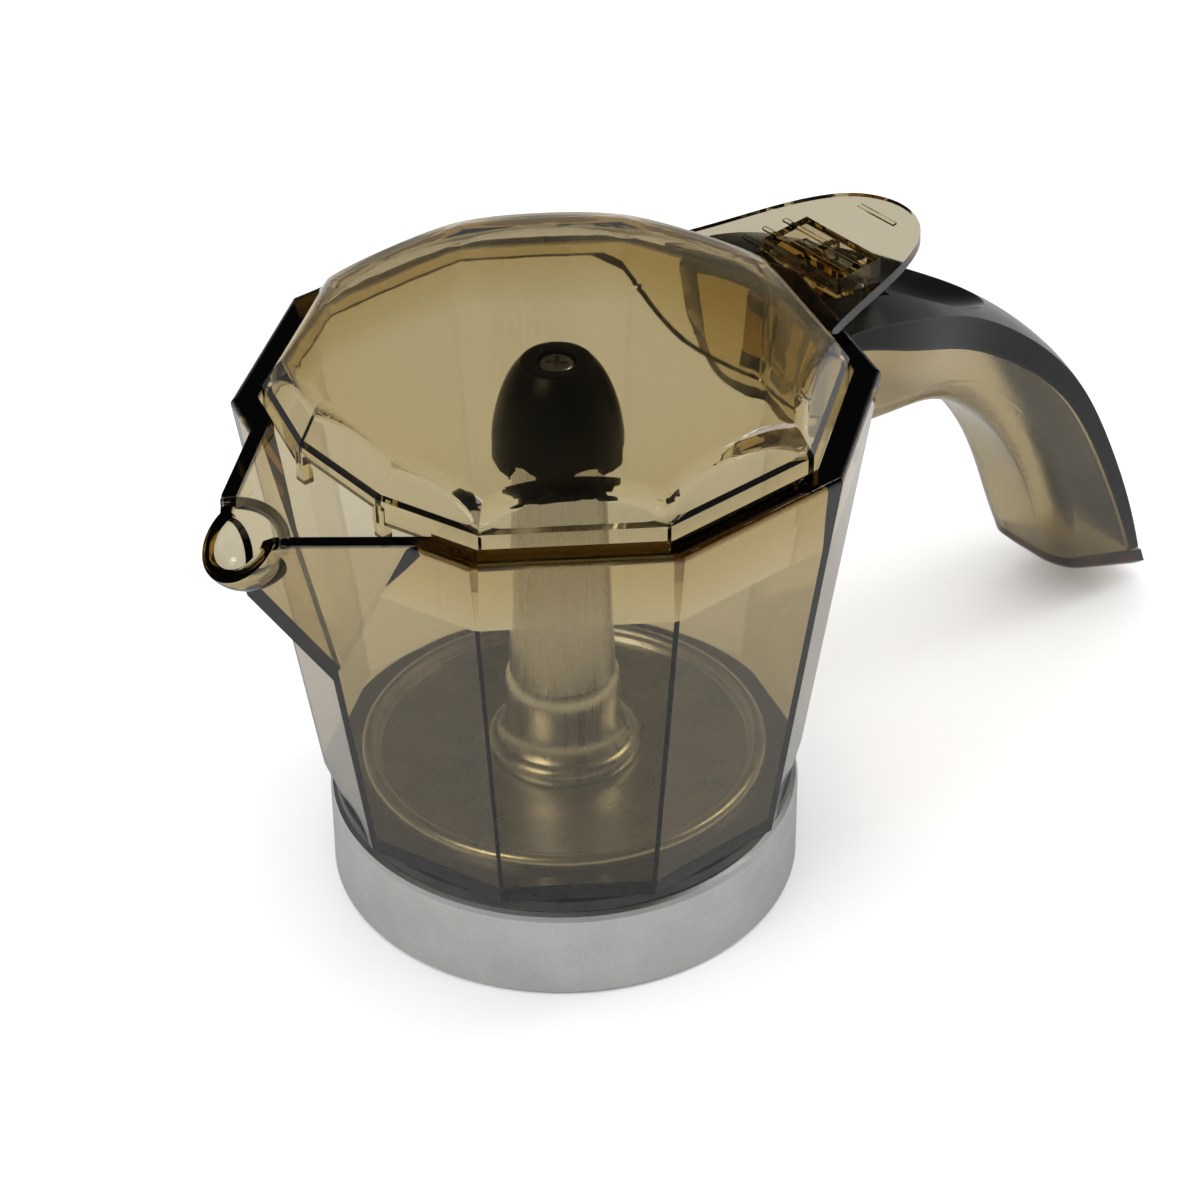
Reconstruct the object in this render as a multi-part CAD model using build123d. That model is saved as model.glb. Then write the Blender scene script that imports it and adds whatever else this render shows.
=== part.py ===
from build123d import *
import math
import os

# Upper jug of a stove-top style coffee maker, in millimetres.
# The origin is on the jug's axis at the foot of the base ring; +Z is up,
# +X points along the handle and -X along the spout.

# ---------------------------------------------------------------- jug
SIDES = 10                 # the jug is a tapered decagon, a corner at +X and -X
JUG_FOOT_Z = 21.2          # underside of the plastic jug
RIM_Z = 101.0              # top of the jug's rim
FOOT_R = 43.9              # corner radius outside, at the foot
RIM_R = 55.9               # corner radius outside, at the rim
FLOOR_Z = 24.0             # upper face of the jug's own floor flange
FLOOR_IN_R = 42.0          # corner radius inside, at the floor
BEAD_IN_R = 51.3           # corner radius inside, where the wall starts to thicken
MOUTH_R = 51.0             # corner radius inside the thickened rim
BEAD_LOW_Z = 86.0
BEAD_HIGH_Z = 94.0
FLOOR_HOLE_R = 33.8        # round hole in the jug's floor

# ---------------------------------------------------------------- spout
KEEL_FOOT = (-50.04, 62.0)   # x, z where the spout's keel leaves the jug
KEEL_TOP = (-67.3, 89.4)     # x, z where the keel runs into the nose
SPOUT_WALL = 2.3
NOSE_CENTRE = (-64.8, 97.0)  # x, z of the round pouring nose
NOSE_AXES = (8.5, 7.6, 7.6)  # half lengths along x, y, z
LIP_START_X = -63.8          # from here outwards the pouring lip droops
LIP_TIP = (-82.0, 85.6)      # x, z far out on the drooping cut
BRIDGE_X = -63.8             # the arched bar across the spout
BRIDGE_HALF = 9.2
BRIDGE_R = 1.05
BRIDGE_RISE = (3.4, 1.2)     # x, z from the bar's ends to its middle

# ---------------------------------------------------------------- base
RING_R = 43.0
RING_TOP_Z = 18.0
THREAD_CREST_R = 37.0
THREAD_ROOT_R = 37.8
THREAD_PITCH = 2.6
THREAD_TURNS = 3
GASKET_SEAT_Z = 13.6
GASKET_FOOT_Z = 9.6
GASKET_R = 36.4
GASKET_IN_R = 28.0
STRAINER_R = 31.0
STRAINER_Z = 10.8
STRAINER_THICK = 0.8
CLAMP_SCREW_PCD_R = 29.8
CLAMP_SCREWS = 3

WASHER_TOP_Z = 16.6
WASHER_THICK = 0.8
CLAMP_SCREW_TIP_Z = 22.6
ORING_R = 34.9

# ---------------------------------------------------------------- column and cap
PLATE_LIP_R = 36.2
PLATE_NECK_R = 33.4
PLATE_TOP_Z = 24.6
COLUMN_BORE_R = 5.6
COLUMN_SPIGOT_R = 7.2
COLUMN_TOP_Z = 93.0
CAP_FOOT_Z = 86.0
CAP_TOP_Z = 104.5
CAP_R = 11.6
CAP_SCREW_R = 1.45
CAP_NOTCHES = 6
CAP_NOTCH_ANGLE = 18.0

# ---------------------------------------------------------------- lid
LID_R = 50.2
LID_SKIRT_Z = 98.6
LID_EDGE_Z = 103.2
LID_DOME = [                 # radius, z of the round crown
    (20.0, 113.3),
    (32.0, 112.4),
    (40.0, 110.9),
    (45.0, 109.0),
    (48.0, 107.0),
    (50.0, 105.0),
    (53.0, 101.0),
]
LID_TOP_Z = 113.6
LID_SHOULDER_FILLET = 4.0
LID_WALL = 1.8
LID_LEAN = 7.9             # how far the facets lean in from their edge to LID_FACET_Z
LID_FACET_Z = 115.2
LID_CHORD_X = -46.8        # the corner over the spout is cut off here
SPOUT_TAB_Z = 95.6
APRON_LOW_Z = 80.5
APRON_GAP = 0.9
# lower edge of the apron, y and z, from side to side
APRON_HEM = [(-33, 99.5), (-26, 92), (-18, 84.3), (-9, 81.4), (0, 80.5), (9, 81.4), (18, 84.3), (26, 92), (33, 99.5)]
LEVER_TIP_X = 81.0
LEVER_LOW_Z = 102.3
LEVER_THICK = 2.0
LEVER_RISE = 1.6
GRIP_RIBS = [(53.0, 11.5), (57.5, 11.0), (62.0, 10.5), (75.0, 4.6)]   # x and half length

# ---------------------------------------------------------------- hinge
HINGE_X = 61.5
HINGE_Z = 98.6
PIN_R = 1.25
PIN_CLEARANCE = 0.05
PIN_HALF = 9.6
EAR_HEAD_R = 2.7
LUG_R = 2.9
HINGE_BOX_X = (56.3, 66.7)
HINGE_BOX_HALF = 9.7
HINGE_BOX_LOW_Z = 99.5

# ---------------------------------------------------------------- handle
HANDLE_WALL = 2.2
# each station: shell edge x, z; web x, z; half width at the edge and at the web
HANDLE_STATIONS = [
    (46.0, 98.0, 50.0, 74.0, 22.0, 15.0),
    (60.0, 92.8, 60.5, 73.3, 20.6, 14.8),
    (72.6, 86.6, 71.5, 71.4, 18.0, 14.0),
    (86.5, 79.0, 82.0, 67.6, 13.9, 12.8),
    (98.0, 71.5, 90.7, 62.2, 12.6, 12.3),
    (109.2, 62.1, 98.8, 54.8, 12.5, 12.2),
    (118.2, 51.4, 105.4, 46.3, 12.5, 12.1),
    (124.7, 40.3, 110.7, 36.8, 12.5, 12.0),
    (130.9, 27.5, 114.9, 26.5, 12.5, 11.8),
    (136.6, 14.4, 117.6, 19.1, 12.3, 11.3),
    (140.9, 5.2, 119.9, 12.5, 11.6, 10.5),
]
WEB_CORNER_R = 6.0
HANDLE_TIP = (141.4, 3.7, 121.6, 10.6, 10.2, 9.0)   # same six values, past the last station
HOLLOW_END_SHARE = 0.62    # how far the hollow runs between the last two stations
END_STOP_RISE = 3.2        # raised end that the cover runs up to
TIP_RISE_SHARE = 0.5       # how much of that rise is left at the very tip

# ---------------------------------------------------------------- handle cover
COVER_WALL = 2.0
COVER_LIFT = 0.1
COVER_END_SHARE = 0.57
# height of the upright side and of the crown above it, at each station
COVER_HEIGHTS = [
    (2.4, 0.5),
    (5.2, 1.2),
    (6.4, 2.2),
    (6.2, 2.2),
    (5.6, 2.3),
    (5.0, 2.4),
    (4.5, 2.4),
    (4.2, 2.3),
    (4.0, 2.1),
    (3.7, 1.8),
    (3.2, 1.2),
]
DISH_CENTRE = (89.1, 0.0, 101.2)
DISH_TILT = 28.0
DISH_AXES = (31.6, 18.2, 18.2)
HINGE_POCKET_X = (52.0, 68.6)
HINGE_POCKET_HALF = 10.6


def decagon(corner_r, z):
    """Flat decagon with a corner on +X."""
    return Plane.XY.offset(z) * RegularPolygon(corner_r, SIDES)


def frustum(stations):
    """Solid with flat facets through decagons given as (corner radius, z)."""
    solid = None
    for (r_low, z_low), (r_high, z_high) in zip(stations, stations[1:]):
        piece = loft([decagon(r_low, z_low), decagon(r_high, z_high)], ruled=True)
        solid = piece if solid is None else solid + piece
    return solid


def turned(points):
    """Solid of revolution from a closed (radius, z) outline."""
    outline = Plane.XZ * Polygon(*points, align=None)
    return revolve(outline, axis=Axis.Z)


def rod(radius, z_low, z_high):
    """Upright cylinder on the jug's axis."""
    return Pos(0, 0, z_low) * Cylinder(radius, z_high - z_low, align=(Align.CENTER, Align.CENTER, Align.MIN))


def y_rod(radius, x, z, y_low, y_high):
    """Cylinder along Y."""
    bar = Cylinder(radius, y_high - y_low)
    return Pos(x, (y_low + y_high) / 2, z) * Rot(90, 0, 0) * bar


def y_plate(points, y_low, y_high):
    """Plate cut in the XZ plane and extruded along Y."""
    face = Plane.XZ * Polygon(*points, align=None)
    plate = extrude(face, amount=y_high - y_low, dir=(0, -1, 0))
    return Pos(0, y_high, 0) * plate


def block(x, y, z):
    """Box given by its low and high corners along each axis."""
    size = Box(x[1] - x[0], y[1] - y[0], z[1] - z[0], align=(Align.MIN, Align.MIN, Align.MIN))
    return Pos(x[0], y[0], z[0]) * size


def jug_inner_radius(z):
    """Inside corner radius of the jug below the rim bead."""
    return FLOOR_IN_R + (BEAD_IN_R - FLOOR_IN_R) * (z - FLOOR_Z) / (BEAD_LOW_Z - FLOOR_Z)


def keel_wedge(inset, along):
    """Square bar with one edge on the spout's keel, moved in by inset."""
    dx = KEEL_TOP[0] - KEEL_FOOT[0]
    dz = KEEL_TOP[1] - KEEL_FOOT[1]
    length = math.hypot(dx, dz)
    slope = (dx / length, dz / length)
    inward = (slope[1], -slope[0])
    start = (
        KEEL_FOOT[0] + inward[0] * inset * math.sqrt(2) + slope[0] * along[0],
        KEEL_FOOT[1] + inward[1] * inset * math.sqrt(2) + slope[1] * along[0],
    )
    plane = Plane(
        origin=(start[0], 0, start[1]),
        x_dir=(inward[0], 0, inward[1]),
        z_dir=(slope[0], 0, slope[1]),
    )
    side = 60.0
    square = Polygon((0, 0), (side, -side), (2 * side, 0), (side, side), align=None)
    return extrude(plane * square, amount=along[1] - along[0], dir=(slope[0], 0, slope[1]))


def nose_form(inset):
    """Egg-shaped pouring nose, or its hollow when inset by the wall."""
    axes = tuple(half - inset for half in NOSE_AXES)
    return Pos(NOSE_CENTRE[0], 0, NOSE_CENTRE[1]) * scale(Sphere(1), by=axes)


def make_spout_outside():
    """Prow of two flat faces meeting at the keel, with a round nose and a drooping lip."""
    wedge = keel_wedge(0.0, (-8.0, 40.0))
    wedge &= block((-66.0, -44.0), (-40, 40), (55, RIM_Z))
    below_lip = y_plate([LIP_TIP, (LIP_START_X, RIM_Z), (-40, RIM_Z), (-40, 50), (LIP_TIP[0], 50)], -40, 40)
    return (wedge + nose_form(0.0)) & below_lip


def make_spout_channel():
    """Space inside the spout, open upwards and into the jug."""
    wedge = keel_wedge(SPOUT_WALL, (-20.0, 60.0))
    wedge &= block((-66.5, -44.0), (-40, 40), (55, RIM_Z + 20))
    return wedge + nose_form(SPOUT_WALL)


def make_bridge():
    """Arched bar across the spout."""
    end_z = RIM_Z - 1.0
    half = BRIDGE_HALF - 0.6
    path = ThreePointArc(
        (BRIDGE_X, -half, end_z),
        (BRIDGE_X + BRIDGE_RISE[0], 0, end_z + BRIDGE_RISE[1]),
        (BRIDGE_X, half, end_z),
    )
    section = Plane(origin=path @ 0, z_dir=path % 0) * Circle(BRIDGE_R)
    return sweep(section, path=path)


def make_hinge_ear(y_low, y_high):
    """One of the two ears that carry the hinge pin."""
    post = y_plate(
        [
            (50.0, 80.0),
            (52.5, 96.6),
            (HINGE_X - EAR_HEAD_R, 96.6),
            (HINGE_X - EAR_HEAD_R, HINGE_Z),
            (HINGE_X + 1.5, HINGE_Z),
            (HINGE_X + 1.5, 92.0),
            (57.0, 80.0),
        ],
        y_low,
        y_high,
    )
    return post + y_rod(EAR_HEAD_R, HINGE_X, HINGE_Z, y_low, y_high)


def make_jug_body():
    outside = frustum([(FOOT_R, JUG_FOOT_Z), (RIM_R, RIM_Z)])
    rim = outside.faces().sort_by(Axis.Z)[-1].edges()
    outside = fillet(rim, 1.2)
    inside = frustum(
        [
            (FLOOR_IN_R, FLOOR_Z),
            (BEAD_IN_R, BEAD_LOW_Z),
            (MOUTH_R, BEAD_HIGH_Z),
            (MOUTH_R, RIM_Z + 5),
        ]
    )
    body = outside + make_spout_outside()
    for side in (-1, 1):
        y_pair = sorted((side * 1.7, side * 7.1))
        body += make_hinge_ear(*y_pair)
    body = body - inside - make_spout_channel()
    body += make_bridge()
    body -= rod(FLOOR_HOLE_R, JUG_FOOT_Z - 1, FLOOR_Z + 1)
    body -= y_rod(PIN_R, HINGE_X, HINGE_Z, -12, 12)
    return body


def handle_plane(station):
    """Section plane across the handle, its Y running from web to shell edge."""
    edge_x, edge_z, web_x, web_z = station[:4]
    depth = math.hypot(edge_x - web_x, edge_z - web_z)
    up = ((edge_x - web_x) / depth, (edge_z - web_z) / depth)
    plane = Plane(origin=(web_x, 0, web_z), x_dir=(0, 1, 0), z_dir=(up[1], 0, -up[0]))
    return plane, depth


def handle_section(station, inset, lift):
    """U outline of the handle, moved in by inset and its mouth raised by lift."""
    plane, depth = handle_plane(station)
    edge_half = station[4] - inset
    web_half = station[5] - inset
    outline = Polygon(
        (-edge_half, depth + lift),
        (-web_half, inset),
        (web_half, inset),
        (edge_half, depth + lift),
        align=None,
    )
    corners = outline.vertices().sort_by(Axis.Y)[:2]
    return plane * fillet(corners, WEB_CORNER_R - inset)


def end_share(share):
    """Station a share of the way from the last but one to the last."""
    before, last = HANDLE_STATIONS[-2:]
    return tuple(b + (a - b) * share for a, b in zip(last, before))


def make_handle_shell():
    outer = loft([handle_section(s, 0.0, 0.0) for s in HANDLE_STATIONS])
    inner_stations = HANDLE_STATIONS[:-1] + [end_share(HOLLOW_END_SHARE)]
    inner = loft([handle_section(s, HANDLE_WALL, 6.0) for s in inner_stations])
    end_stop = loft(
        [handle_section(end_share(share), 0.0, END_STOP_RISE) for share in (HOLLOW_END_SHARE, 1.0)]
    )
    tip = loft(
        [
            handle_section(HANDLE_STATIONS[-1], 0.0, END_STOP_RISE),
            handle_section(HANDLE_TIP, 0.0, END_STOP_RISE * TIP_RISE_SHARE),
        ]
    )
    shell = outer - inner + end_stop + tip
    jug = frustum([(FOOT_R, JUG_FOOT_Z), (RIM_R, RIM_Z), (RIM_R, RIM_Z + 20)])
    return shell - jug


def cover_section(station, heights, inset):
    """Outline of the cover: flat foot, upright sides and a crowned top."""
    plane, depth = handle_plane(station)
    side_height, crown = heights
    half = station[4] - inset
    foot = depth + (COVER_LIFT if inset == 0 else -2.0)
    shoulder = depth + side_height - inset
    outline = Polyline((-half + 0.6, shoulder), (-half, foot), (half, foot), (half - 0.6, shoulder))
    top = ThreePointArc((half - 0.6, shoulder), (0, shoulder + crown), (-half + 0.6, shoulder))
    return plane * make_face(outline.edges() + top.edges())


def make_handle_cover():
    stations = HANDLE_STATIONS[:-1] + [end_share(COVER_END_SHARE)]
    outer = loft([cover_section(s, h, 0.0) for s, h in zip(stations, COVER_HEIGHTS)])
    inner_stations = HANDLE_STATIONS[:-1]
    inner = loft([cover_section(s, h, COVER_WALL) for s, h in zip(inner_stations, COVER_HEIGHTS)])
    dish_place = Pos(*DISH_CENTRE) * Rot(0, DISH_TILT, 0)
    dish = dish_place * scale(Sphere(1), by=DISH_AXES)
    dish_back = dish_place * scale(Sphere(1), by=tuple(a + COVER_WALL for a in DISH_AXES))
    cover = outer - dish - (inner - dish_back)
    gap = 0.15
    jug = frustum([(FOOT_R + gap, JUG_FOOT_Z), (RIM_R + gap, RIM_Z), (RIM_R + gap, RIM_Z + 20)])
    cover -= jug
    cover -= block(HINGE_POCKET_X, (-HINGE_POCKET_HALF, HINGE_POCKET_HALF), (86.0, 110.0))
    return cover


def lid_dome(inset):
    """Round crown of the lid as a solid of revolution, lowered by the wall when inset."""
    crown = Spline(
        (0, LID_TOP_Z - inset), *[(r - inset, z - inset) for r, z in LID_DOME], tangents=[(1, 0), (1, -1.6)]
    )
    closing = Polyline(crown @ 1, ((crown @ 1).X, 60), (0, 60), crown @ 0)
    outline = make_face(crown.edges() + closing.edges())
    return revolve(Plane.XZ * outline, axis=Axis.Z)


def lid_solid(inset):
    """Outer lid form, or its hollow when inset by the wall."""
    low = LID_SKIRT_Z if inset == 0 else LID_SKIRT_Z - 30
    radius = LID_R - inset
    side = frustum([(radius, low), (radius, LID_EDGE_Z), (radius - LID_LEAN, LID_FACET_Z)])
    solid = side & lid_dome(inset)
    chord = LID_CHORD_X + inset
    keep = y_plate(
        [(chord, low - 1), (chord, LID_EDGE_Z), (chord + LID_LEAN, LID_FACET_Z), (70, 120), (70, low - 1)],
        -60,
        60,
    )
    return solid & keep


def rounded_lid(inset):
    """Lid form with a soft shoulder between facets and crown."""
    solid = lid_solid(inset)
    shoulder = solid.faces().sort_by(Axis.Z)[-1].edges()
    return fillet(shoulder, LID_SHOULDER_FILLET - inset)


def make_back_apron():
    """Deep tongue of the lid's skirt that hangs inside the jug at the handle."""
    low_z = APRON_LOW_Z - 1
    reach_z = 85.5
    outer_low = jug_inner_radius(low_z) - APRON_GAP
    outer = frustum([(outer_low, low_z), (LID_R, reach_z), (LID_R, LID_EDGE_Z)])
    inner = frustum([(outer_low - LID_WALL, low_z), (LID_R - LID_WALL, reach_z), (LID_R - LID_WALL, LID_EDGE_Z)])
    hem = Spline(*[Vector(0, y, z) for y, z in APRON_HEM])
    closing = Polyline(hem @ 1, (0, APRON_HEM[-1][0], LID_EDGE_Z), (0, APRON_HEM[0][0], LID_EDGE_Z), hem @ 0)
    outline = make_face(hem.edges() + closing.edges())
    window = extrude(outline, amount=80, dir=(1, 0, 0))
    return (outer - inner) & window


def lever_outline():
    """Plan of the thumb lever: wide at the lid, rounded at its tip."""
    right = [(44.0, 21.6), (53.0, 18.7), (61.5, 16.4), (70.8, 13.2), (77.6, 8.6)]
    left = [(x, -y) for x, y in reversed(right)]
    edge = Spline(*right, (LEVER_TIP_X, 0), *left)
    root = Line(edge @ 1, edge @ 0)
    return make_face(edge.edges() + root.edges())


def make_lever():
    """Thumb lever with its grip ribs, tilted up a little towards the tip."""
    plate = extrude(lever_outline(), amount=LEVER_THICK, dir=(0, 0, 1))
    for x, half in GRIP_RIBS:
        plate += block((x - 0.45, x + 0.45), (-half, half), (LEVER_THICK - 0.2, LEVER_THICK + 0.45))
    tilt = math.degrees(math.atan2(LEVER_RISE, LEVER_TIP_X - 50.0))
    return Pos(50.0, 0, LEVER_LOW_Z) * Rot(0, -tilt, 0) * Pos(-50.0, 0, 0) * plate


def make_hinge_box():
    """Ribs under the lever that hold the hinge pin."""
    low, high = HINGE_BOX_LOW_Z, LEVER_LOW_Z + 1.2
    front, back = HINGE_BOX_X
    outer = block((front, back), (-HINGE_BOX_HALF, HINGE_BOX_HALF), (low, high))
    windows = block((front + 1.7, back - 1.7), (-7.9, 7.9), (low - 1, high + 1))
    box = outer - windows
    for y_low, y_high in ((-HINGE_BOX_HALF, -7.9), (-0.9, 0.9), (7.9, HINGE_BOX_HALF)):
        box += y_rod(LUG_R, HINGE_X, HINGE_Z, y_low, y_high)
        box += block((HINGE_X - LUG_R, HINGE_X + LUG_R), (y_low, y_high), (HINGE_Z, high))
        box += block((front, back), (y_low, y_high), (low, high))
    return box


def make_lid():
    outside = rounded_lid(0.0)
    hollow = rounded_lid(LID_WALL)
    lid = outside + make_lever() - hollow
    lid += make_back_apron()
    lid += make_hinge_box()
    lid -= block((-60.0, -44.6), (-9.6, 9.6), (90.0, 101.2))
    for side in (-1, 1):
        tab = block((-46.6, -44.8), (9.6, 12.0), (SPOUT_TAB_Z, 101.4))
        lid += tab if side > 0 else mirror(tab, about=Plane.XZ)
    lid -= y_rod(PIN_R + PIN_CLEARANCE, HINGE_X, HINGE_Z, -12, 12)
    return lid


def make_hinge_pin():
    pin = y_rod(PIN_R, HINGE_X, HINGE_Z, -PIN_HALF, PIN_HALF)
    return chamfer(pin.edges().filter_by(GeomType.CIRCLE), 0.2)


def make_base_ring():
    ring = turned(
        [
            (THREAD_CREST_R, 0.0),
            (RING_R - 0.6, 0.0),
            (RING_R, 0.6),
            (RING_R, RING_TOP_Z - 1.3),
            (RING_R - 0.4, RING_TOP_Z - 0.4),
            (RING_R - 1.3, RING_TOP_Z),
            (PLATE_NECK_R - 7.4, RING_TOP_Z),
            (PLATE_NECK_R - 7.4, GASKET_SEAT_Z),
            (GASKET_R, GASKET_SEAT_Z),
            (GASKET_R, GASKET_FOOT_Z - 0.4),
            (THREAD_CREST_R, GASKET_FOOT_Z - 1.0),
        ]
    )
    for turn in range(THREAD_TURNS):
        mid_z = 2.2 + turn * THREAD_PITCH
        ring -= turned(
            [
                (THREAD_CREST_R - 0.2, mid_z - 0.7),
                (THREAD_ROOT_R, mid_z - 0.2),
                (THREAD_ROOT_R, mid_z + 0.2),
                (THREAD_CREST_R - 0.2, mid_z + 0.7),
            ]
        )
    for place in PolarLocations(CLAMP_SCREW_PCD_R, CLAMP_SCREWS):
        ring -= place * rod(1.7, GASKET_SEAT_Z - 1, RING_TOP_Z + 1)
        ring -= place * rod(3.0, GASKET_SEAT_Z - 1, WASHER_TOP_Z)
    return ring


def make_base_seal():
    inner_r = PLATE_NECK_R + 0.4
    outer_r = RING_R - 1.0
    return turned(
        [
            (inner_r, RING_TOP_Z),
            (outer_r - 0.5, RING_TOP_Z),
            (outer_r, RING_TOP_Z + 0.6),
            (outer_r, JUG_FOOT_Z - 0.6),
            (outer_r - 0.5, JUG_FOOT_Z),
            (inner_r, JUG_FOOT_Z),
        ]
    )


def make_collector_plate():
    """Metal floor: a thin disc, a thick neck and a rounded lip on the jug."""
    outline = Polyline(
        (COLUMN_SPIGOT_R, PLATE_TOP_Z),
        (COLUMN_SPIGOT_R, PLATE_TOP_Z - 2.6),
        (24.0, PLATE_TOP_Z - 3.2),
        (PLATE_NECK_R - 7.4, RING_TOP_Z),
        (PLATE_NECK_R, RING_TOP_Z),
        (PLATE_NECK_R, FLOOR_Z),
        (PLATE_LIP_R, FLOOR_Z),
        (PLATE_LIP_R, FLOOR_Z + 0.9),
    )
    bead = ThreePointArc(
        (PLATE_LIP_R, FLOOR_Z + 0.9),
        (PLATE_LIP_R - 1.5, FLOOR_Z + 2.4),
        (PLATE_LIP_R - 3.0, FLOOR_Z + 0.9),
    )
    inside = Polyline(
        (PLATE_LIP_R - 3.0, FLOOR_Z + 0.9),
        (PLATE_LIP_R - 3.6, PLATE_TOP_Z - 0.4),
        (COLUMN_SPIGOT_R, PLATE_TOP_Z),
    )
    face = make_face(outline.edges() + bead.edges() + inside.edges())
    plate = revolve(Plane.XZ * face, axis=Axis.Z)
    plate -= turned(
        [
            (ORING_R - 0.6, FLOOR_Z - 0.1),
            (ORING_R + 0.6, FLOOR_Z - 0.1),
            (ORING_R + 0.6, FLOOR_Z + 0.9),
            (ORING_R - 0.6, FLOOR_Z + 0.9),
        ]
    )
    for place in PolarLocations(CLAMP_SCREW_PCD_R, CLAMP_SCREWS):
        plate -= place * rod(1.5, RING_TOP_Z - 1, CLAMP_SCREW_TIP_Z + 0.4)
    return plate


def make_floor_oring():
    return turned(
        [
            (ORING_R - 0.6, FLOOR_Z + 0.2),
            (ORING_R - 0.4, FLOOR_Z),
            (ORING_R + 0.4, FLOOR_Z),
            (ORING_R + 0.6, FLOOR_Z + 0.2),
            (ORING_R + 0.6, FLOOR_Z + 0.7),
            (ORING_R + 0.4, FLOOR_Z + 0.9),
            (ORING_R - 0.4, FLOOR_Z + 0.9),
            (ORING_R - 0.6, FLOOR_Z + 0.7),
        ]
    )


def make_clamp_screws():
    """Pan-head screws that pull the collector plate down onto the ring."""
    head_low = WASHER_TOP_Z - WASHER_THICK - 1.8
    head = rod(2.6, head_low, WASHER_TOP_Z - WASHER_THICK)
    head = fillet(head.edges().sort_by(Axis.Z)[0], 0.6)
    screw = head + rod(1.5, WASHER_TOP_Z - WASHER_THICK, CLAMP_SCREW_TIP_Z)
    for angle in (0, 90):
        slot = block((-1.6, 1.6), (-0.35, 0.35), (head_low - 1, head_low + 0.9))
        screw -= Rot(0, 0, angle) * slot
    return Compound([place * screw for place in PolarLocations(CLAMP_SCREW_PCD_R, CLAMP_SCREWS)])


def make_screw_washers():
    washer = rod(2.8, WASHER_TOP_Z - WASHER_THICK, WASHER_TOP_Z)
    washer -= rod(1.55, WASHER_TOP_Z - WASHER_THICK - 1, WASHER_TOP_Z + 1)
    return Compound([place * washer for place in PolarLocations(CLAMP_SCREW_PCD_R, CLAMP_SCREWS)])


def make_filter_gasket():
    gasket = turned(
        [
            (GASKET_IN_R, GASKET_FOOT_Z + 0.3),
            (GASKET_IN_R + 0.3, GASKET_FOOT_Z),
            (GASKET_R - 0.3, GASKET_FOOT_Z),
            (GASKET_R, GASKET_FOOT_Z + 0.3),
            (GASKET_R, GASKET_SEAT_Z),
            (GASKET_IN_R, GASKET_SEAT_Z),
        ]
    )
    return gasket - rod(STRAINER_R, STRAINER_Z, STRAINER_Z + STRAINER_THICK)


def make_strainer_plate():
    """Thin disc with rings of small holes."""
    disc = Circle(STRAINER_R)
    for ring_index in range(1, 9):
        holes = PolarLocations(ring_index * 3.0, ring_index * 6) * Circle(0.75)
        disc -= holes
    disc -= Circle(0.75)
    return Pos(0, 0, STRAINER_Z) * extrude(disc, amount=STRAINER_THICK, dir=(0, 0, 1))


def make_riser_column():
    """Tapered tube with a rounded foot flange and a spigot below it."""
    flange_r = 14.0
    foot = Polyline(
        (COLUMN_BORE_R, COLUMN_TOP_Z),
        (COLUMN_BORE_R, PLATE_TOP_Z - 3.4),
        (COLUMN_SPIGOT_R, PLATE_TOP_Z - 3.4),
        (COLUMN_SPIGOT_R, PLATE_TOP_Z),
        (flange_r - 0.3, PLATE_TOP_Z),
    )
    bulge = ThreePointArc(
        (flange_r - 0.3, PLATE_TOP_Z),
        (flange_r, PLATE_TOP_Z + 1.9),
        (flange_r - 1.9, PLATE_TOP_Z + 3.6),
    )
    flare = Spline((flange_r - 1.9, PLATE_TOP_Z + 3.6), (11.0, 29.6), (10.3, 33.5), (9.56, 42.0))
    shaft = Polyline((9.56, 42.0), (8.35, 78.0), (8.0, COLUMN_TOP_Z - 0.6), (7.4, COLUMN_TOP_Z))
    top = Line((7.4, COLUMN_TOP_Z), (COLUMN_BORE_R, COLUMN_TOP_Z))
    edges = foot.edges() + bulge.edges() + flare.edges() + shaft.edges() + top.edges()
    return revolve(Plane.XZ * make_face(edges), axis=Axis.Z)


def make_cap_spider():
    """Three-armed insert in the top of the column that the cap is screwed to."""
    low, high = COLUMN_TOP_Z - 4.5, COLUMN_TOP_Z - 1.0
    spider = rod(COLUMN_BORE_R, low, high) - rod(COLUMN_BORE_R - 0.9, low - 1, high + 1)
    for angle in (0, 120, 240):
        arm = block((0.0, COLUMN_BORE_R - 0.5), (-0.8, 0.8), (low, high))
        spider += Rot(0, 0, angle) * arm
    spider += rod(2.5, low - 2.0, COLUMN_TOP_Z)
    return spider - rod(CAP_SCREW_R, low - 4, COLUMN_TOP_Z + 1)


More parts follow.
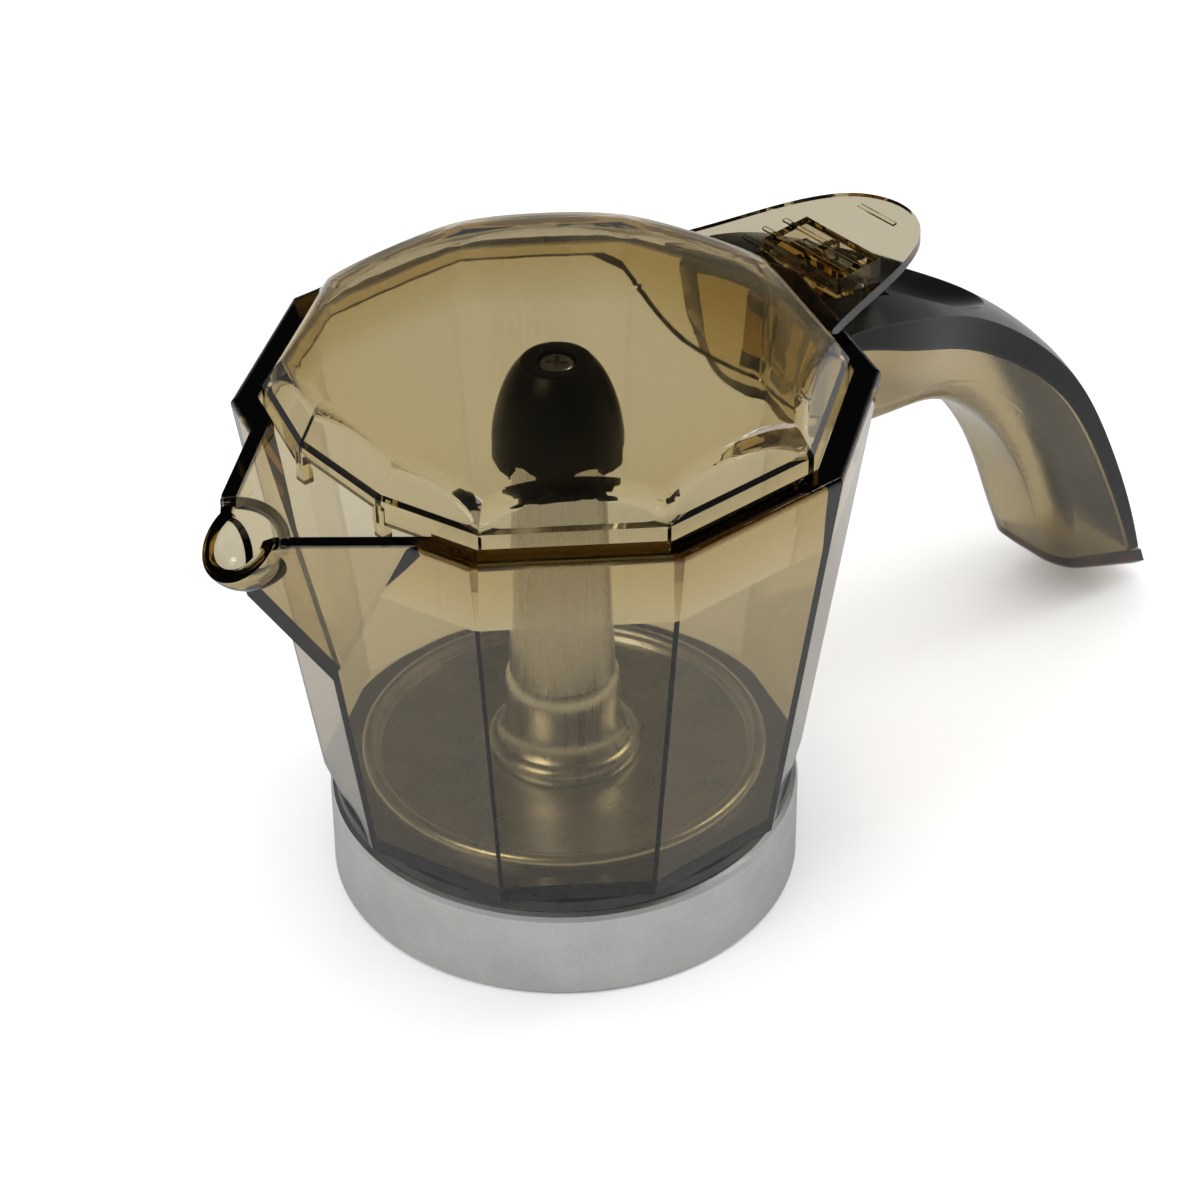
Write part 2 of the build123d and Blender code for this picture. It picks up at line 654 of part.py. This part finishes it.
def make_column_cap():
    """Bullet-shaped cap that turns the coffee down, notched round its foot."""
    side = Spline((CAP_R, CAP_FOOT_Z), (11.5, 90.0), (10.3, 96.5), (8.0, 102.0), (6.2, CAP_TOP_Z - 0.1))
    crown = Polyline(
        (6.2, CAP_TOP_Z - 0.1),
        (5.6, CAP_TOP_Z),
        (3.6, CAP_TOP_Z),
        (3.6, CAP_TOP_Z - 2.2),
        (CAP_SCREW_R + 0.15, CAP_TOP_Z - 2.2),
        (CAP_SCREW_R + 0.15, COLUMN_TOP_Z),
        (3.3, COLUMN_TOP_Z),
        (3.3, 99.6),
        (6.0, 99.2),
    )
    hollow = Spline((6.0, 99.2), (8.3, 95.4), (9.7, 90.0), (9.8, CAP_FOOT_Z))
    foot = Line((9.8, CAP_FOOT_Z), (CAP_R, CAP_FOOT_Z))
    edges = side.edges() + crown.edges() + hollow.edges() + foot.edges()
    cap = revolve(Plane.XZ * make_face(edges), axis=Axis.Z)
    for turn in range(CAP_NOTCHES):
        notch = block((8.0, 14.0), (-2.7, 2.7), (CAP_FOOT_Z - 2, CAP_FOOT_Z + 1.2))
        notch += Pos(8.0, 0, CAP_FOOT_Z + 1.2) * Rot(0, 90, 0) * scale(
            Cylinder(1.0, 6.0, align=(Align.CENTER, Align.CENTER, Align.MIN)), by=(1.5, 2.7, 1.0)
        )
        cap -= Rot(0, 0, CAP_NOTCH_ANGLE + turn * 360 / CAP_NOTCHES) * notch
    return cap


def make_cap_screw():
    head_low = CAP_TOP_Z - 2.2
    head = rod(3.2, head_low, CAP_TOP_Z - 0.4)
    head = fillet(head.edges().sort_by(Axis.Z)[-1], 0.9)
    screw = head + rod(CAP_SCREW_R, COLUMN_TOP_Z - 6.0, head_low)
    for angle in (45, 135):
        slot = block((-1.9, 1.9), (-0.4, 0.4), (CAP_TOP_Z - 1.4, CAP_TOP_Z + 1))
        screw -= Rot(0, 0, angle) * slot
    return screw


PARTS = {
    "jug_body": make_jug_body,
    "handle_shell": make_handle_shell,
    "handle_cover": make_handle_cover,
    "lid": make_lid,
    "hinge_pin": make_hinge_pin,
    "base_ring": make_base_ring,
    "base_seal": make_base_seal,
    "collector_plate": make_collector_plate,
    "floor_oring": make_floor_oring,
    "clamp_screws": make_clamp_screws,
    "screw_washers": make_screw_washers,
    "filter_gasket": make_filter_gasket,
    "strainer_plate": make_strainer_plate,
    "riser_column": make_riser_column,
    "cap_spider": make_cap_spider,
    "column_cap": make_column_cap,
    "cap_screw": make_cap_screw,
}

if __name__ == "__main__":
    os.makedirs("parts", exist_ok=True)
    for name, make in PARTS.items():
        export_step(make(), f"parts/{name}.step")
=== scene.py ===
import math

import bpy
import bmesh
from mathutils import Matrix, Vector


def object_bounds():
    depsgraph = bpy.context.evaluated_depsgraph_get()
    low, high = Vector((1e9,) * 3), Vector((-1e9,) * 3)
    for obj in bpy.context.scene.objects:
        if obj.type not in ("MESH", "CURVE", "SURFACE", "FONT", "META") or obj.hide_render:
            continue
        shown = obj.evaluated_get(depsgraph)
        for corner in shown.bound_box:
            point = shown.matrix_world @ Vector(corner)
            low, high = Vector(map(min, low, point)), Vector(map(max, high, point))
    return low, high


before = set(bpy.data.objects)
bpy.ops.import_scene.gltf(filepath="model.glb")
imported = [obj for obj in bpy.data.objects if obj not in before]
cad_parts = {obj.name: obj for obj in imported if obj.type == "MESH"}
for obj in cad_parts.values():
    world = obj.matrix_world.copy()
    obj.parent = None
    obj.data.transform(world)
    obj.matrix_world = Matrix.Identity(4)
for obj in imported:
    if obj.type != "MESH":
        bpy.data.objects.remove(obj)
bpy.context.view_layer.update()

# Everything is in metres. Tones are linear light from 0 to 1, and noise scales are cells per metre.

# ---------------------------------------------------------------- camera

AIM_POINT = Vector((0.0, 0.0, 0.04674))
CAMERA_DISTANCE = 0.655
CAMERA_AZIMUTH = math.radians(-38.897)
CAMERA_ELEVATION = math.radians(36.376)
CAMERA_ROLL = math.radians(-1.047)
CAMERA_LENS = 109.46
CAMERA_SENSOR = 36.0
CAMERA_SHIFT = (0.03196, 0.03252)
CAMERA_CLIP = (0.01, 50.0)

# ---------------------------------------------------------------- smoked plastic

SMOKE_IOR = 1.58
SMOKE_COLOUR = (0.69, 0.53, 0.05, 1.0)
SMOKE_DENSITY = 280.0
CLEAR = (1.0, 1.0, 1.0)
# Painted shade: above a set height the jug's rim is tinted near black, for the black look of the thick
# rim seen edge-on.
RIM_PAINTED_SHADE = (0.07, 0.075, 0.10)
RIM_PAINTED_SHADE_Z = 0.1000
RIM_PAINTED_SHADE_FADE = 0.0006

# ---------------------------------------------------------------- tones of the other materials

COVER_BLACK = (0.006, 0.006, 0.0065)
# The lighter edge colour of the black plastics is partly wear and partly a painted highlight.
COVER_WORN_AND_HIGHLIT = (0.035, 0.034, 0.033)
RING_TONE = (0.78, 0.775, 0.76)
PLATE_TONE = (0.66, 0.655, 0.64)
COLUMN_TONES = ((0.50, 0.49, 0.47), (0.68, 0.67, 0.65))
RUBBER_TONES = ((0.010, 0.010, 0.010), (0.030, 0.029, 0.027))
SILICONE_TONES = ((0.52, 0.49, 0.44), (0.74, 0.72, 0.69))
FIBRE_TONES = ((0.16, 0.045, 0.02), (0.30, 0.10, 0.05))
STEEL_TONES = ((0.36, 0.35, 0.34), (0.62, 0.61, 0.59))
FLOOR_TONES = ((0.90, 0.90, 0.90), (0.93, 0.93, 0.93))

# Reach of the lighter edges on black plastic: partly wear, partly a painted highlight.
WORN_AND_HIGHLIT_EDGE_R = 0.0009
WORN_EDGE_R = 0.0007
WORN_EDGE_GLOSS = 0.12
GRAIN_DEPTH = 0.0001
CAST_SHARE = 0.6
MOTTLE_SHARE = 0.6

# ---------------------------------------------------------------- room

FLOOR_HALF = 3.0
FLOOR_CELLS = 24
FLOOR_GAP = 0.0002
# Painted shade: the floor's tone as seen in reflections, darker than its real tone.
FLOOR_PAINTED_REFLECTION_TONE = 0.50
CEILING_TONE = 0.02
WALL_TONE = 0.30
WALL_TOP = 0.12
CEILING_START = 0.42
ROOM_LIGHT = 1.40
LAMPS = {
    "key": {"place": (-1.4, -0.1, 1.5), "size": 0.7, "power": 6.0},
    "side": {"place": (1.5, -0.5, 1.6), "size": 0.6, "power": 5.0},
}


def place_camera():
    """The camera that looks down on the spout side of the jug."""
    back = Vector((
        math.sin(CAMERA_AZIMUTH) * math.cos(CAMERA_ELEVATION),
        -math.cos(CAMERA_AZIMUTH) * math.cos(CAMERA_ELEVATION),
        math.sin(CAMERA_ELEVATION),
    ))
    level = Vector((0.0, 0.0, 1.0)).cross(back).normalized()
    upright = back.cross(level)
    across = level * math.cos(CAMERA_ROLL) + upright * math.sin(CAMERA_ROLL)
    upward = upright * math.cos(CAMERA_ROLL) - level * math.sin(CAMERA_ROLL)
    data = bpy.data.cameras.new("camera")
    data.lens = CAMERA_LENS
    data.sensor_width = CAMERA_SENSOR
    data.shift_x, data.shift_y = CAMERA_SHIFT
    data.clip_start, data.clip_end = CAMERA_CLIP
    data.dof.use_dof = False
    camera = bpy.data.objects.new("camera", data)
    turn = Matrix((across, upward, back)).transposed().to_4x4()
    camera.matrix_world = Matrix.Translation(AIM_POINT + back * CAMERA_DISTANCE) @ turn
    bpy.context.scene.collection.objects.link(camera)
    bpy.context.scene.camera = camera


# ---------------------------------------------------------------- node helpers


def grey(tone):
    return (tone, tone, tone)


def fill_ramp(ramp, stops):
    """Sets a colour ramp to (place, colour) stops."""
    band = ramp.color_ramp
    while len(band.elements) < len(stops):
        band.elements.new(0.5)
    for element, (place, colour) in zip(band.elements, stops):
        element.position = place
        element.color = (*colour, 1.0)


class Surface:
    """One material: its node tree, its main shader, and short ways to feed it."""

    def __init__(self, name, **values):
        self.material = bpy.data.materials.new(name)
        self.material.use_nodes = True
        self.tree = self.material.node_tree
        self.shader = self.tree.nodes["Principled BSDF"]
        self.output = self.tree.nodes["Material Output"]
        for socket, value in values.items():
            self.shader.inputs[socket.replace("_", " ")].default_value = value
        self.place = self.node("ShaderNodeTexCoord").outputs["Object"]

    def node(self, kind, **settings):
        made = self.tree.nodes.new(kind)
        for key, value in settings.items():
            setattr(made, key, value)
        return made

    def link(self, source, target):
        self.tree.links.new(source, target)

    def feed(self, **sources):
        """Links sources to the main shader's sockets."""
        for socket, source in sources.items():
            self.link(source, self.shader.inputs[socket.replace("_", " ")])

    def swap(self, ray, shader):
        """Puts another shader in place of the main one for one kind of light ray."""
        path = self.node("ShaderNodeLightPath")
        mix = self.node("ShaderNodeMixShader")
        self.link(path.outputs[ray], mix.inputs["Fac"])
        self.link(self.shader.outputs["BSDF"], mix.inputs[1])
        self.link(shader.outputs["BSDF"], mix.inputs[2])
        self.link(mix.outputs["Shader"], self.output.inputs["Surface"])

    def axes(self):
        """The X, Y and Z of the object coordinates."""
        parts = self.node("ShaderNodeSeparateXYZ")
        self.link(self.place, parts.inputs["Vector"])
        return parts.outputs["X"], parts.outputs["Y"], parts.outputs["Z"]

    def stretched(self, scale, turn=(0.0, 0.0, 0.0)):
        """Object coordinates turned, and scaled along each axis."""
        mapping = self.node("ShaderNodeMapping")
        mapping.inputs["Scale"].default_value = scale
        mapping.inputs["Rotation"].default_value = turn
        self.link(self.place, mapping.inputs["Vector"])
        return mapping.outputs["Vector"]

    def noise(self, scale, detail=4.0, rough=0.55, across=None):
        """Fractal noise from 0 to 1."""
        made = self.node("ShaderNodeTexNoise")
        made.inputs["Scale"].default_value = scale
        made.inputs["Detail"].default_value = detail
        made.inputs["Roughness"].default_value = rough
        self.link(across if across is not None else self.place, made.inputs["Vector"])
        return made.outputs["Fac"]

    def around(self, scale):
        """(angle round the jug's axis, radius, height), scaled, for turned or drawn streaks."""
        x, y, z = self.axes()
        flat = self.node("ShaderNodeCombineXYZ")
        self.link(x, flat.inputs["X"])
        self.link(y, flat.inputs["Y"])
        radius = self.node("ShaderNodeVectorMath", operation="LENGTH")
        self.link(flat.outputs["Vector"], radius.inputs[0])
        joined = self.node("ShaderNodeCombineXYZ")
        self.link(self.math("ARCTAN2", y, x), joined.inputs["X"])
        self.link(radius.outputs["Value"], joined.inputs["Y"])
        self.link(z, joined.inputs["Z"])
        made = self.node("ShaderNodeVectorMath", operation="MULTIPLY")
        self.link(joined.outputs["Vector"], made.inputs[0])
        made.inputs[1].default_value = scale
        return made.outputs["Vector"]

    def math(self, operation, *values):
        """Arithmetic on one or two values, each a number or a socket."""
        made = self.node("ShaderNodeMath", operation=operation)
        for socket, value in zip(made.inputs, values):
            if isinstance(value, float):
                socket.default_value = value
            else:
                self.link(value, socket)
        return made.outputs["Value"]

    def blend(self, first, second, share):
        """The first value times share, plus the second times the rest."""
        kept = self.math("MULTIPLY", first, share)
        rest = self.math("MULTIPLY", second, 1.0 - share)
        return self.math("ADD", kept, rest)

    def between(self, value, low, high, start=0.25, end=0.75):
        """Spreads a value from the range start to end over the range low to high."""
        made = self.node("ShaderNodeMapRange")
        for socket, number in (("From Min", start), ("From Max", end), ("To Min", low), ("To Max", high)):
            made.inputs[socket].default_value = number
        self.link(value, made.inputs["Value"])
        return made.outputs["Result"]

    def colours(self, value, tones, start=0.0, end=1.0):
        """Runs from the first tone to the second as the value goes from start to end."""
        ramp = self.node("ShaderNodeValToRGB")
        fill_ramp(ramp, tuple(zip((start, end), tones)))
        self.link(value, ramp.inputs["Fac"])
        return ramp.outputs["Color"]

    def edges(self, radius, samples=6):
        """1 close to sharp edges and 0 on open faces."""
        bevel = self.node("ShaderNodeBevel", samples=samples)
        bevel.inputs["Radius"].default_value = radius
        shape = self.node("ShaderNodeNewGeometry")
        dot = self.node("ShaderNodeVectorMath", operation="DOT_PRODUCT")
        self.link(bevel.outputs["Normal"], dot.inputs[0])
        self.link(shape.outputs["Normal"], dot.inputs[1])
        return self.between(dot.outputs["Value"], low=1.0, high=0.0, start=0.85, end=0.995)

    def bump(self, height, strength, distance=GRAIN_DEPTH, under=None):
        """A bump on the shader's normal, with distance in metres, over another bump if one is given."""
        made = self.node("ShaderNodeBump")
        made.inputs["Strength"].default_value = strength
        made.inputs["Distance"].default_value = distance
        self.link(height, made.inputs["Height"])
        if under is not None:
            self.link(under, made.inputs["Normal"])
        return made.outputs["Normal"]


# ---------------------------------------------------------------- materials


def smoke(name, rough_low, rough_high, ripple, painted_shade_above=None):
    """Amber-brown clear plastic, tinted by its depth, that lets the lamps through.

    Above a given height the surface colour is painted near black: painted shade that stands in for the
    black look of the thick rim seen edge-on.
    """
    made = Surface(name, Base_Color=(*CLEAR, 1.0), Transmission_Weight=1.0, IOR=SMOKE_IOR)
    # Painted shade: the colour runs from clear to near black just above the set height.
    if painted_shade_above is not None:
        height = made.axes()[2]
        share = made.between(height, low=0.0, high=1.0, start=painted_shade_above, end=painted_shade_above + RIM_PAINTED_SHADE_FADE)
        made.feed(Base_Color=made.colours(share, (CLEAR, RIM_PAINTED_SHADE)))
    wiped = made.stretched(scale=(60.0, 90.0, 260.0), turn=(0.3, 0.2, 0.7))
    wipes = made.noise(scale=1.0, detail=5.0, rough=0.65, across=wiped)
    haze = made.math("MULTIPLY", wipes, made.noise(scale=900.0, detail=2.0))
    made.feed(Roughness=made.between(haze, rough_low, rough_high, start=0.12, end=0.42))
    flow = made.noise(scale=45.0, detail=1.0, rough=0.4)
    made.feed(Normal=made.bump(flow, strength=ripple, distance=0.001))
    depth = made.node("ShaderNodeVolumeAbsorption")
    depth.inputs["Color"].default_value = SMOKE_COLOUR
    depth.inputs["Density"].default_value = SMOKE_DENSITY
    made.link(depth.outputs["Volume"], made.output.inputs["Volume"])
    made.swap("Is Shadow Ray", made.node("ShaderNodeBsdfTransparent"))
    return made.material


def black_plastic(name, rough_low, rough_high, grain):
    """Moulded black plastic with a fine spark-eroded grain, and edges whose colour is painted lighter:
    partly worn plastic, partly a painted highlight.
    """
    made = Surface(name, IOR=1.4, Specular_IOR_Level=0.3)
    # Edges painted lighter, broken up by noise: partly worn plastic, partly a painted highlight.
    worn_and_highlit = made.math("MULTIPLY", made.edges(WORN_AND_HIGHLIT_EDGE_R), made.noise(scale=350.0, detail=3.0))
    made.feed(Base_Color=made.colours(worn_and_highlit, (COVER_BLACK, COVER_WORN_AND_HIGHLIT)))
    patches = made.noise(scale=70.0, detail=5.0, rough=0.6)
    made.feed(Roughness=made.between(patches, rough_low, rough_high))
    waves = made.bump(made.noise(scale=60.0, detail=2.0), strength=0.05, distance=0.001)
    pits = made.noise(scale=2600.0, detail=3.0, rough=0.6)
    made.feed(Normal=made.bump(pits, strength=grain, under=waves))
    return made.material


def turned_aluminium(name, tone, rough_low, rough_high, grain, dirt):
    """Satin aluminium with fine streaks round the axis and a mottled cast tone."""
    made = Surface(name, Metallic=1.0)
    streaks = made.noise(scale=1.0, detail=6.0, rough=0.7, across=made.around((3.0, 2600.0, 2600.0)))
    clouds = made.noise(scale=110.0, detail=5.0, rough=0.6)
    specks = made.noise(scale=1500.0, detail=4.0, rough=0.7)
    mottle = made.blend(clouds, specks, MOTTLE_SHARE)
    soiled = tuple(channel * dirt for channel in tone)
    made.feed(Base_Color=made.colours(mottle, (soiled, tone), start=0.3, end=0.62))
    gloss = made.between(made.math("ADD", streaks, mottle), rough_low, rough_high, start=0.6, end=1.4)
    wear = made.math("MULTIPLY", made.edges(WORN_EDGE_R), WORN_EDGE_GLOSS)
    made.feed(Roughness=made.math("SUBTRACT", gloss, wear))
    cast = made.bump(specks, strength=grain * CAST_SHARE, distance=0.00012)
    made.feed(Normal=made.bump(streaks, strength=grain, distance=0.00008, under=cast))
    return made.material


def drawn_aluminium(name):
    """Column aluminium, drawn lengthwise and cloudy with use."""
    made = Surface(name, Metallic=1.0)
    streaks = made.noise(scale=1.0, detail=5.0, rough=0.6, across=made.around((9.0, 300.0, 9.0)))
    clouds = made.noise(scale=120.0, detail=5.0, rough=0.65)
    mottle = made.blend(streaks, clouds, MOTTLE_SHARE)
    made.feed(Base_Color=made.colours(mottle, COLUMN_TONES, start=0.32, end=0.62))
    made.feed(Roughness=made.between(mottle, low=0.20, high=0.42, start=0.35, end=0.65))
    waves = made.bump(clouds, strength=0.06, distance=0.0003)
    made.feed(Normal=made.bump(streaks, strength=0.03, distance=0.0002, under=waves))
    return made.material


def rubber(name):
    """Matt black sealing rubber with a dusty bloom."""
    made = Surface(name, IOR=1.52, Sheen_Weight=0.15)
    dust = made.noise(scale=160.0, detail=6.0, rough=0.65)
    made.feed(Base_Color=made.colours(dust, RUBBER_TONES, start=0.35, end=0.75))
    made.feed(Roughness=made.between(dust, low=0.42, high=0.68))
    made.feed(Normal=made.bump(made.noise(scale=1800.0, detail=3.0), strength=0.25))
    return made.material


def silicone(name):
    """Milky filter gasket."""
    made = Surface(name, IOR=1.43, Subsurface_Weight=0.25, Subsurface_Scale=0.002)
    stain = made.noise(scale=90.0, detail=5.0, rough=0.6)
    made.feed(Base_Color=made.colours(stain, SILICONE_TONES, start=0.35, end=0.7))
    made.feed(Roughness=made.between(stain, low=0.38, high=0.6))
    made.feed(Normal=made.bump(made.noise(scale=1400.0, detail=3.0), strength=0.15))
    return made.material


def fibre(name):
    """Pressed red-brown fibre washers."""
    made = Surface(name, IOR=1.45)
    pressed = made.stretched(scale=(2400.0, 500.0, 2400.0))
    threads = made.noise(scale=1.0, detail=5.0, rough=0.7, across=pressed)
    made.feed(Base_Color=made.colours(threads, FIBRE_TONES, start=0.3, end=0.7))
    made.feed(Roughness=made.between(threads, low=0.6, high=0.85))
    made.feed(Normal=made.bump(threads, strength=0.4))
    return made.material


def steel(name):
    """Plain stainless screws and pin."""
    made = Surface(name, Metallic=1.0)
    drawn = made.stretched(scale=(2600.0, 300.0, 2600.0))
    marks = made.noise(scale=1.0, detail=5.0, rough=0.7, across=drawn)
    tarnish = made.noise(scale=420.0, detail=4.0)
    made.feed(Base_Color=made.colours(tarnish, STEEL_TONES, start=0.3, end=0.7))
    made.feed(Roughness=made.between(marks, low=0.24, high=0.44))
    made.feed(Normal=made.bump(marks, strength=0.15))
    return made.material


def dress_nodes():
    """Gives every CAD node its finish."""
    ring_finish = {"tone": RING_TONE, "rough_low": 0.36, "rough_high": 0.56, "grain": 0.3, "dirt": 0.82}
    plate_finish = {"tone": PLATE_TONE, "rough_low": 0.22, "rough_high": 0.40, "grain": 0.25, "dirt": 0.7}
    gloss_smoke = {"rough_low": 0.0, "rough_high": 0.05, "ripple": 0.02}
    dressed = (
        (smoke("smoked_plastic", **gloss_smoke), ("lid",)),
        (smoke("smoked_jug", **gloss_smoke, painted_shade_above=RIM_PAINTED_SHADE_Z), ("jug_body",)),
        (smoke("smoked_satin_plastic", rough_low=0.14, rough_high=0.22, ripple=0.03), ("handle_shell",)),
        (black_plastic("black_plastic", rough_low=0.16, rough_high=0.26, grain=0.06), ("handle_cover",)),
        (black_plastic("cap_plastic", rough_low=0.28, rough_high=0.4, grain=0.1), ("column_cap",)),
        (turned_aluminium("ring_aluminium", **ring_finish), ("base_ring",)),
        (turned_aluminium("plate_aluminium", **plate_finish), ("collector_plate", "strainer_plate")),
        (drawn_aluminium("column_aluminium"), ("riser_column", "cap_spider")),
        (rubber("black_rubber"), ("base_seal", "floor_oring")),
        (silicone("silicone"), ("filter_gasket",)),
        (fibre("fibre_washer"), ("screw_washers",)),
        (steel("steel"), ("hinge_pin", "clamp_screws", "cap_screw")),
    )
    for finish, names in dressed:
        for name in names:
            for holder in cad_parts[name].material_slots:
                holder.material = finish


# ---------------------------------------------------------------- room and light


def lay_floor():
    """A pale matt sheet under the object, painted darker for glossy rays: painted shade on the floor as
    the object reflects it.
    """
    mesh = bpy.data.meshes.new("floor")
    shape = bmesh.new()
    bmesh.ops.create_grid(shape, x_segments=FLOOR_CELLS, y_segments=FLOOR_CELLS, size=FLOOR_HALF)
    shape.to_mesh(mesh)
    shape.free()
    made = Surface("floor_paper", Specular_IOR_Level=0.2)
    clouds = made.noise(scale=3.0, detail=3.0)
    made.feed(Base_Color=made.colours(clouds, FLOOR_TONES, start=0.3, end=0.7))
    made.feed(Roughness=made.between(clouds, low=0.75, high=0.85))
    # Painted shade: glossy rays see this dimmer floor, so its reflections on the object are darker.
    dim = made.node("ShaderNodeBsdfDiffuse")
    dim.inputs["Color"].default_value = (*grey(FLOOR_PAINTED_REFLECTION_TONE), 1.0)
    made.swap("Is Glossy Ray", dim)
    mesh.materials.append(made.material)
    floor = bpy.data.objects.new("floor", mesh)
    floor.location.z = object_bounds()[0][2] - FLOOR_GAP
    bpy.context.scene.collection.objects.link(floor)


def soft_lamp(name, place, size, power):
    """A soft square lamp aimed at the jug."""
    data = bpy.data.lights.new(name, "AREA")
    data.shape = "SQUARE"
    data.size = size
    data.energy = power
    lamp = bpy.data.objects.new(name, data)
    lamp.location = place
    lamp.rotation_euler = (AIM_POINT - lamp.location).to_track_quat("-Z", "Y").to_euler()
    bpy.context.scene.collection.objects.link(lamp)


def light_room():
    """Grey walls that fade to a dim ceiling, even white light on matt surfaces, and the soft lamps."""
    world = bpy.data.worlds.new("studio")
    world.use_nodes = True
    tree = world.node_tree
    seen = tree.nodes["Background"]
    toward = tree.nodes.new("ShaderNodeTexCoord")
    parts = tree.nodes.new("ShaderNodeSeparateXYZ")
    ramp = tree.nodes.new("ShaderNodeValToRGB")
    wall, ceiling = grey(WALL_TONE), grey(CEILING_TONE)
    fill_ramp(ramp, ((0.0, wall), (WALL_TOP, wall), (CEILING_START, ceiling), (1.0, ceiling)))
    even = tree.nodes.new("ShaderNodeBackground")
    even.inputs["Color"].default_value = (1.0, 1.0, 1.0, 1.0)
    even.inputs["Strength"].default_value = ROOM_LIGHT
    path = tree.nodes.new("ShaderNodeLightPath")
    mix = tree.nodes.new("ShaderNodeMixShader")
    for source, target in (
        (toward.outputs["Generated"], parts.inputs["Vector"]),
        (parts.outputs["Z"], ramp.inputs["Fac"]),
        (ramp.outputs["Color"], seen.inputs["Color"]),
        (path.outputs["Is Diffuse Ray"], mix.inputs["Fac"]),
        (seen.outputs["Background"], mix.inputs[1]),
        (even.outputs["Background"], mix.inputs[2]),
        (mix.outputs["Shader"], tree.nodes["World Output"].inputs["Surface"]),
    ):
        tree.links.new(source, target)
    bpy.context.scene.world = world
    bpy.context.scene.view_settings.view_transform = "Standard"
    for name, lamp in LAMPS.items():
        soft_lamp(name, **lamp)


place_camera()
dress_nodes()
lay_floor()
light_room()
